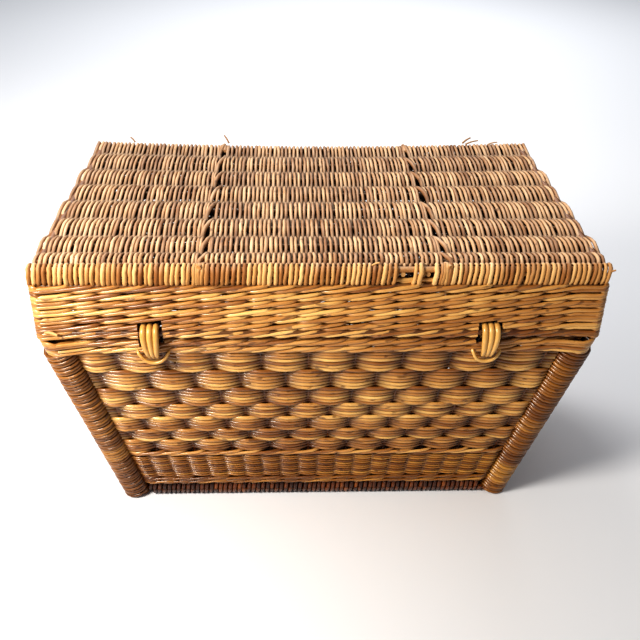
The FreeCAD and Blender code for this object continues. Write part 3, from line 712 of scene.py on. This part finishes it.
lidRim = dict(skirt, first=334.5, rows=1, rodRadius=2.75, low=331.2, high=343.0)
# the border rope gets an even painted shade, and the core inside the border a dark one
rimRope = {"strands": 3, "twist": 9.0, "offset": -1.5, "reach": 2.6, "height": 335.0,
           "rodRadius": 2.5, "tuck": 0.35}
core = {"reach": 352, "y": -230.5, "z": 336.25, "radius": 4.6, "tuck": 0.8, "points": 30}
rimStrands = waleRows(lidPlan, lidRim) + ropeRing(lidPlan, rimRope)
coreEnds = [(side * core["reach"], core["y"], core["z"]) for side in (-1, 1)]
rimStrands = clearOf(rimStrands, slotRooms + roomsAt("hinge"))
rimStrands.append(straightRod(*coreEnds, core["radius"], core["tuck"], core["points"]))
strandPiece("lidBorder", rimStrands, "lid", nodesOf("lid_border", ("front", "left", "right")))

bodyRim = dict(skirt, first=308.0, rows=2, amp=5.4, corner=18.0, rodRadius=2.75, low=304.0, high=324.0)
rimRooms = roomsAt("eye", closureMiddles) + roomsAt("back")
bodyRope = dict(rimRope, offset=-1.0, reach=2.8, height=321.3, rodRadius=2.7)
rimStrands = waleRows(bodyRoundPlan, bodyRim) + ropeRing(bodyRoundPlan, bodyRope)
strandPiece("bodyBorder", clearOf(rimStrands, rimRooms), "trunk_body",
            nodesOf("body_border", ("front", "left", "right")))


# the hinge rods get a light even painted shade
hingeRod = {"y": 228.5, "lidZ": 336.0, "bodyZ": 319.5, "reach": 3.7, "rodRadius": 3.5, "pitch": 62.0,
            "laid": 4, "span": 350, "step": 4.5, "tuck": 0.2}


def twistedRod(rod, z):
    # a rope of rods along the hinge line
    strands = []
    xs = np.arange(-rod["span"], rod["span"] + 0.1, rod["step"])
    for strand in range(rod["laid"]):
        angle = 2 * np.pi * (xs / rod["pitch"] + strand / rod["laid"])
        points = np.c_[xs, rod["y"] + rod["reach"] * np.cos(angle), z + rod["reach"] * np.sin(angle)]
        radii = np.full(len(xs), rod["rodRadius"] * mm)
        strands.append((points * mm, radii, np.full(len(xs), rod["tuck"])))
    return strands


strandPiece("lidHingeRod", twistedRod(hingeRod, hingeRod["lidZ"]), "lid", ["lid_border_back"])
strandPiece("bodyHingeRod", twistedRod(hingeRod, hingeRod["bodyZ"]), "trunk_body",
            ["body_border_back"])

def sag(x, y, panel):
    # how far the panel hangs below its plane, most at the middle of the back
    share = np.clip((y / panel["halfY"] + 1) / 2, 0, 1)
    return panel["sag"] * math.cos(math.pi * x / 2 / panel["halfX"]) * share ** 1.5


def panelRod(panel, x, parity, radius):
    # a rod from the front edge to the back one, over and under the sticks
    sticks = panel["stickPlaces"]
    ys, zs, tuckShades = [], [], []
    amp = panel["amp"]
    for number, y in enumerate(sticks[:-1]):
        here = 1.0 if (number + parity) % 2 == 0 else -1.0
        for step in range(4):
            share = step / 4
            ys.append(y + share * (sticks[number + 1] - y))
            zs.append(here * math.cos(math.pi * share))
    last = 1.0 if (len(sticks) - 1 + parity) % 2 == 0 else -1.0
    ys.append(sticks[-1])
    zs.append(last)
    xs = [x] * len(ys)
    # painted shade: darker where the rod dips under a stick
    tuckShades = [0.5 - 0.5 * value for value in zs]
    zs = [panel["stickZ"] + amp * value for value in zs]
    ends = [(-1, 1.0 if parity == 0 else -1.0), (1, last)]
    # the fourth value of each wrap point is its painted shade: light over the turn, dark where the rod
    # goes back under the roll or ends inside
    for side, state in ends:
        edge = side * (panel["halfY"] - radius)
        near = side * panel["stickY"]
        if state > 0:
            top, low = zs[0] if side < 0 else zs[-1], panel["rollLow"] + radius
            drop = top - low
            slant = chance.uniform(*panel["slant"])
            wrap = []
            for share in panel["turnShares"]:
                bulge = math.sin(math.pi * share) ** 0.5
                wrap.append((x - slant * share, near + (edge - near) * bulge, top - drop * share, 0.1))
            back, up = panel["tail"]
            wrap.append((x - slant, near, low, 0.6))
            wrap.append((x - slant, near - side * back, low + up, 1.0))
        else:
            wrap = [(x, near + side * panel["stub"], panel["stickZ"] - amp * 0.9, 1.0)]
        wrap = wrap[::-1] if side < 0 else wrap
        wx, wy, wz, wt = (list(values) for values in zip(*wrap))
        if side < 0:
            xs, ys, zs, tuckShades = wx + xs, wy + ys, wz + zs, wt + tuckShades
        else:
            xs, ys, zs, tuckShades = xs + wx, ys + wy, zs + wz, tuckShades + wt
    xs = np.array(xs) + chance.normal(0, panel["shake"], len(xs))
    xs += panel["bow"] * np.sin(np.linspace(0, 1, len(xs)) * chance.uniform(*panel["bends"]))
    ys = np.array(ys)
    zs = np.array(zs) - sag(x, ys, panel)
    taper = np.linspace(*panel["taper"], len(xs)) * radius * chance.uniform(*panel["thickness"])
    taper = taper * np.where(np.abs(ys) > panel["stickY"] + 1, panel["flattened"], 1.0)
    if chance.random() < 0.5:
        taper = taper[::-1]
    return np.c_[xs, ys, zs] * mm, taper * mm, np.array(tuckShades)


def panelBlock(panel, xLow, xHigh):
    strands = []
    count = int(round((xHigh - xLow) / panel["pitch"]))
    for number, x in enumerate(np.linspace(xLow, xHigh, count)):
        points, radii, tuck = panelRod(panel, x + chance.normal(0, panel["shake"]), number % 2,
                                       panel["rodRadius"])
        mayBreak = panel["brokenFrom"] < x < panel["brokenTo"]
        if mayBreak and chance.random() < panel["brokenShare"]:
            # a rod that has lost its turn round the front edge
            near = points[:, 1] > -(panel["stickY"] - 3) * mm
            points, radii, tuck = points[near], radii[near], tuck[near]
        strands.append((points, radii, tuck))
    return strands


# how a rod of a panel slants at its turn, strays, bows and flattens on its turn
handWork = {"slant": (1.2, 3.2), "shake": 0.3, "bow": 0.6, "bends": (4, 14), "flattened": 1.2,
            "taper": (1.08, 0.92), "thickness": (0.88, 1.1), "tail": (6, 2), "stub": 3,
            "turnShares": (0.12, 0.28, 0.5, 0.72, 0.88)}
lidTop = {
    **handWork, "halfX": 360.0, "halfY": 236.0, "stickY": 228.0, "stickZ": 425.5, "amp": 6.2,
    "stickPlaces": (-228.0, -206.0, -162.0, -106.0, -45.0, 19.0, 82.0, 147.0, 228.0),
    "stickRadius": 4.0, "stickReach": 346, "stickPoints": 30, "stickShade": 0.7,
    "rollLow": 402.5, "pitch": 3.2, "rodRadius": 2.4, "sag": 7.0,
    "brokenFrom": 96.0, "brokenTo": 146.0, "brokenShare": 0.55,
}
blocks = {
    "lidTopLeft": (-359.5, -158.5, "lid_weave_left"),
    "lidTopMiddle": (-141.5, 148.5, "lid_weave_middle"),
    "lidTopRight": (165.5, 359.5, "lid_weave_right"),
}
for name, (xLow, xHigh, node) in blocks.items():
    strandPiece(name, panelBlock(lidTop, xLow, xHigh), "lid", [node],
                weatheredWillow)

# rods that fill the gap beside a pairing line, and short thick ones at its two ends
pairing = {"rodRadius": 3.0, "highest": 431.0, "lift": 0.8, "stray": (1.2, 1.3), "overhang": 0.12,
           "endStep": 50, "samples": 66, "besideRadius": 2.2,
           "beside": ((-7.2, 1), (7.2, 0), (-5.2, 0), (5.2, 1)),
           "ends": (-2.4, 2.4), "endRadius": 2.8, "endPoints": 9}


def pairingLine(panel, x, lean):
    # two strands twined round the sticks from front to back
    strands = []
    places = np.array(panel["stickPlaces"])
    for turn in (0, 1):
        overhang = pairing["overhang"]
        number = np.linspace(-overhang, len(places) - 1 + overhang, pairing["samples"])
        ys = np.interp(number, np.arange(len(places)), places)
        beyond = np.clip(number, None, 0) + np.clip(number - len(places) + 1, 0, None)
        ys = ys + beyond * pairing["endStep"]
        phase = np.pi * (number + turn)
        xs = x + lean * np.sin(phase) + waver(pairing["stray"], number, turn)
        zs = panel["stickZ"] + (panel["amp"] + pairing["lift"]) * np.cos(phase) - sag(x, ys, panel)
        zs = np.minimum(zs, pairing["highest"])
        # painted shade: darker where the strand dips under a stick
        tuck = np.clip(0.5 - 0.5 * np.cos(phase), 0, 1)
        radii = np.full(len(xs), pairing["rodRadius"] * mm)
        strands.append((np.c_[xs, ys, zs] * mm, radii, tuck))
    for side, parity in pairing["beside"]:
        strands.append(panelRod(panel, x + side, parity, pairing["besideRadius"]))
    count = pairing["endPoints"]
    for side in pairing["ends"]:
        end = panelRod(panel, x + side, 0, pairing["endRadius"])
        strands.append(tuple(values[:count] for values in end))
        strands.append(tuple(values[-count:] for values in end))
    return strands


lines = {
    "pairingLeft": (-150.0, 4.6, "lid_pairing_left"),
    "pairingRight": (157.0, -5.2, "lid_pairing_right"),
}
for name, (x, lean, node) in lines.items():
    line = pairingLine(lidTop, x, lean)
    strandPiece(name, line, "lid", [node], weatheredWillow)

# the lid sticks get an even painted shade, as they lie under the rods
stickStrands = []
for y in lidTop["stickPlaces"]:
    count = lidTop["stickPoints"]
    xs = np.linspace(-lidTop["stickReach"], lidTop["stickReach"], count)
    zs = np.array([lidTop["stickZ"] - sag(x, np.array(y), lidTop) for x in xs])
    points, radii = np.c_[xs, np.full(count, y), zs], np.full(count, lidTop["stickRadius"] * mm)
    stickStrands.append((points * mm, radii, np.full(count, lidTop["stickShade"])))
strandPiece("lidSticks", stickStrands, "lid", ["lid_sticks"], weatheredWillow)

# snapped rods that stick out of the weave: root, tip and thickness
twigs = [
    ((256, 232, 432), (270, 237, 440), 1.7), ((262, 233, 430), (284, 240, 434), 1.5),
    ((300, 236, 428), (318, 241, 431), 1.4), ((-142, 233, 430), (-150, 241, 441), 1.6),
    ((356, -232, 420), (365, -236, 428), 1.5), ((-350, -236, 341), (-334, -240, 339), 2.4),
    ((-346, -235, 338), (-330, -237, 333), 2.2), ((60, -228, 430), (70, -232, 437), 1.3),
    ((-300, 234, 431), (-308, 241, 437), 1.4),
]
# the twigs get an even painted shade, a deeper one at the foot
twig = {"points": 6, "bend": 1.2, "tip": 0.75, "tuck": 0.2, "footPoints": 5, "footShade": 0.4}
twigRods = []
for root, tip, radius in twigs:
    count = twig["points"]
    points, radii, tuck = straightRod(root, tip, radius, twig["tuck"], count)
    points[:, 2] += np.sin(np.linspace(0, np.pi, count)) * twig["bend"] * mm
    twigRods.append((points, radii * np.linspace(1, twig["tip"], count), tuck))
strandPiece("lidTwigs", twigRods, "lid", [], weatheredWillow)
footTwigs = [((262, -158, 5), (281, -165, 3), 1.6), ((256, -160, 9), (276, -166, 8), 1.5)]
footRods = [straightRod(*line, twig["footShade"], twig["footPoints"]) for line in footTwigs]
strandPiece("footTwigs", footRods, "trunk_body", [], darkWillow)

base = {
    "halfX": 286.0, "halfY": 164.0, "stickY": 156.0, "sticks": 7, "stickZ": 8.4, "amp": 5.2,
    "rollLow": 0.6, "pitch": 3.1, "rodRadius": 2.3, "sag": 0.0,
}
baseStrands = []
# the base rods and the wraps round its edge get an even painted shade
foot = {"wrapReach": 252.0, "edgeReach": 283.0, "notchReach": 126.0, "low": 1.0, "high": 25.0,
        "step": 13.0, "wrapPitch": 7.2, "wrapRadius": 3.4, "samples": 17, "flat": 5.2, "inset": 3.0,
        "shake": 0.3, "thickness": (0.92, 1.04), "rodShade": 0.5, "wrapShade": 0.25}
for number, x in enumerate(np.arange(-foot["edgeReach"], foot["edgeReach"] + 0.1, base["pitch"])):
    parity = number % 2
    isWrapped = abs(x) < foot["wrapReach"]
    reach = base["stickY"] if isWrapped else foot["notchReach"]
    ys = np.arange(-reach, reach + 0.1, foot["step"])
    gap = 2 * base["stickY"] / (base["sticks"] - 1)
    phase = np.pi * (ys + base["stickY"]) / gap + np.pi * parity
    zs = base["stickZ"] - base["amp"] * np.cos(phase)
    points = np.c_[np.full(len(ys), x), ys, zs]
    tuck = np.full(len(ys), foot["rodShade"])
    baseStrands.append((points * mm, np.full(len(ys), base["rodRadius"] * mm), tuck))
count, flat = foot["samples"], foot["flat"]
tall, centre = (foot["high"] - foot["low"]) / 2 - foot["inset"], (foot["high"] + foot["low"]) / 2
angles = np.linspace(0, 2 * np.pi, count)
for side in (-1, 1):
    for x in np.arange(-foot["wrapReach"], foot["wrapReach"] + 0.1, foot["wrapPitch"]):
        ys = side * (base["halfY"] - flat - foot["wrapRadius"] + flat * np.cos(angles))
        zs = centre + tall * np.sin(angles)
        slant = x + np.linspace(-0.5, 0.5, count) * foot["wrapPitch"] + chance.normal(0, foot["shake"])
        radius = foot["wrapRadius"] * chance.uniform(*foot["thickness"]) * mm
        points, tuck = np.c_[slant, ys, zs], np.full(count, foot["wrapShade"])
        baseStrands.append((points * mm, np.full(count, radius), tuck))
strandPiece("baseWeaving", baseStrands, "trunk_body", ["base_weave"], darkWillow)
print("weaving done")

def smoothPath(corners, steps):
    # a smooth line through a few places
    corners = np.array(corners, float)
    padded = np.vstack([2 * corners[0] - corners[1], corners, 2 * corners[-1] - corners[-2]])
    line = []
    for number in range(len(corners) - 1):
        p0, p1, p2, p3 = padded[number:number + 4]
        for share in np.linspace(0, 1, steps, endpoint=False):
            s2, s3 = share ** 2, share ** 3
            line.append(0.5 * (2 * p1 + (p2 - p0) * share + (2 * p0 - 5 * p1 + 4 * p2 - p3) * s2
                               + (3 * p1 - p0 - 3 * p2 + p3) * s3))
    line.append(corners[-1])
    return np.array(line)


# a cane's course: how far it has closed in on its foot, then y and z from the axis of the eye
closure = {
    "caneRadius": 4.0, "pitch": 8.0, "footPitch": 4.9, "drift": 2.0, "axisY": -230.5, "axisZ": 336.25,
    "course": (
        (0.0, 1.0, -9.2), (0.0, 9.2, 0.0), (0.0, 2.0, 9.2), (0.0, -6.9, 6.9),
        (0.0, -10.8, -2.0), (0.3, -11.0, -14.0), (0.8, -9.8, -25.25), (1.0, -4.7, -33.25),
    ),
    "thinFrom": 0.6, "thinBy": 0.36, "shadeTo": 1 / 3, "shadeFrom": 0.92, "smoothing": 5,
}
# a staple's course: x from the closure's middle, share of the drift, y and z
staple = {
    "caneRadius": 2.3,
    "course": (
        (-19, 0.3, -224, 309), (-18, 0.3, -230.5, 305), (-11, 1, -233.0, 295.5), (0, 1, -233.0, 291.8),
        (11, 1, -233.0, 295.5), (18, 1, -230.5, 304), (19, 1, -224, 308),
    ),
}
for hand, middle in zip(("left", "right"), closureMiddles):
    drift = -math.copysign(closure["drift"], middle)
    canes = []
    for number in (-1, 0, 1):
        top = middle + number * closure["pitch"]
        bottom = middle + number * closure["footPitch"] + drift
        path = [(top + (bottom - top) * share, closure["axisY"] + y, closure["axisZ"] + z)
                for share, y, z in closure["course"]]
        points = smoothPath(path, closure["smoothing"])
        share = np.linspace(0, 1, len(points))
        thinning = np.clip((share - closure["thinFrom"]) / (1 - closure["thinFrom"]), 0, 1) ** 2
        radii = closure["caneRadius"] * (1 - closure["thinBy"] * thinning)
        # painted shade near both ends, where the cane goes into its slot and into the weave
        tuck = np.clip(1 - share / closure["shadeTo"], 0, 1)
        tuck += 0.5 * np.clip((share - closure["shadeFrom"]) / (1 - closure["shadeFrom"]), 0, 1)
        canes.append((points * mm, radii * mm, tuck))
    strandPiece(f"closure_{hand}Canes", canes, f"{hand}_closure", [f"closure_{hand}"],
                smoothCane, caneSides)
    loop = [(middle + x + drift * share, y, z) for x, share, y, z in staple["course"]]
    points = smoothPath(loop, closure["smoothing"])
    bent = [(points * mm, np.full(len(points), staple["caneRadius"] * mm), np.zeros(len(points)))]
    strandPiece(f"staple_{hand}Cane", bent, "trunk_body", [f"closure_staple_{hand}"],
                smoothCane, stapleSides)

wraps = {"x": 200.7, "caneRadius": 3.2, "pitch": 6.6, "reach": 11.1, "spread": 0.3, "samples": 41}
for hand, middle in (("left", -wraps["x"]), ("right", wraps["x"])):
    turns = []
    for number in (-1, 0, 1):
        x = middle + number * wraps["pitch"]
        ring = []
        for turn in np.linspace(-90, 270, wraps["samples"]):
            angle = math.radians(turn)
            centre = hingeRod["lidZ"] if 0 <= turn <= 180 else hingeRod["bodyZ"]
            y = hingeRod["y"] + wraps["reach"] * math.cos(angle)
            ring.append((x + number * wraps["spread"], y, centre + wraps["reach"] * math.sin(angle)))
        ring = np.array(ring)
        turns.append((ring * mm, np.full(len(ring), wraps["caneRadius"] * mm), np.zeros(len(ring))))
    strandPiece(f"hingeWrap_{hand}", turns, "trunk_body", [f"hinge_wrap_{hand}"],
                smoothCane, caneSides)
print("closures done")

studio = {"floorSize": 9, "floorPlace": (0, 2.0, 0), "floorColour": (0.82, 0.83, 0.86, 1),
          "floorRough": 0.9, "skyColour": (0.95, 0.97, 1.0, 1), "skyStrength": 0.27}
# each lamp's place, aim, size, power and tint
lamps = {
    "keyLight": ((-0.85, -0.8, 1.02), (0, 0, 0.25), 0.42, 26, (1.0, 0.95, 0.87)),
    "fillLight": ((1.9, -1.6, 1.3), (0, 0, 0.25), 1.6, 3, (0.95, 0.97, 1.0)),
    "backLight": ((-0.5, 1.3, 2.0), (0, 0, 0.25), 0.8, 32, (1.0, 0.98, 0.95)),
    "floorLight": ((0.3, 3.3, 2.3), (0.2, 3.4, 0), 2.6, 70, (0.98, 0.99, 1.0)),
}


def floorAndLight():
    bpy.ops.mesh.primitive_plane_add(size=studio["floorSize"], location=studio["floorPlace"])
    floor = bpy.context.object
    floor.name = "floor"
    shader = Shader("paleFloor")
    shader.give(Base_Color=studio["floorColour"], Roughness=studio["floorRough"])
    floor.data.materials.append(shader.material)
    world = bpy.data.worlds.new("paleRoom")
    bpy.context.scene.world = world
    world.use_nodes = True
    sky = world.node_tree.nodes["Background"]
    sky.inputs["Color"].default_value = studio["skyColour"]
    sky.inputs["Strength"].default_value = studio["skyStrength"]
    for name, (place, aim, size, power, tint) in lamps.items():
        lamp = bpy.data.lights.new(name, "AREA")
        lamp.size, lamp.energy, lamp.color = size, power, tint
        holder = bpy.data.objects.new(name, lamp)
        holder.location = place
        holder.rotation_euler = (Vector(aim) - Vector(place)).to_track_quat("-Z", "Y").to_euler()
        bpy.context.collection.objects.link(holder)


# a view from a little left of the middle, held slightly askew
viewpoint = {"place": (-0.04258, -1.16515, 0.90522), "yaw": 0.0433, "pitch": 0.53206, "roll": 0.01851,
             "lens": 47.81, "sensor": 36}


def setCamera():
    yaw, pitch, roll = viewpoint["yaw"], viewpoint["pitch"], viewpoint["roll"]
    ahead = Vector((math.sin(yaw) * math.cos(pitch), math.cos(yaw) * math.cos(pitch), -math.sin(pitch)))
    right = Vector((math.cos(yaw), -math.sin(yaw), 0))
    up = right.cross(ahead)
    cosine, sine = math.cos(roll), math.sin(roll)
    right, up = cosine * right + sine * up, cosine * up - sine * right
    view = bpy.data.cameras.new("viewCamera")
    view.sensor_width, view.lens = viewpoint["sensor"], viewpoint["lens"]
    camera = bpy.data.objects.new("viewCamera", view)
    turn = Matrix((right, up, -ahead)).transposed().to_4x4()
    camera.matrix_world = Matrix.Translation(viewpoint["place"]) @ turn
    bpy.context.collection.objects.link(camera)
    bpy.context.scene.camera = camera


floorAndLight()
setCamera()
bpy.context.scene.view_settings.view_transform = "Standard"
bpy.context.scene.view_settings.look = "High Contrast"
bpy.context.scene.view_settings.exposure = -0.4
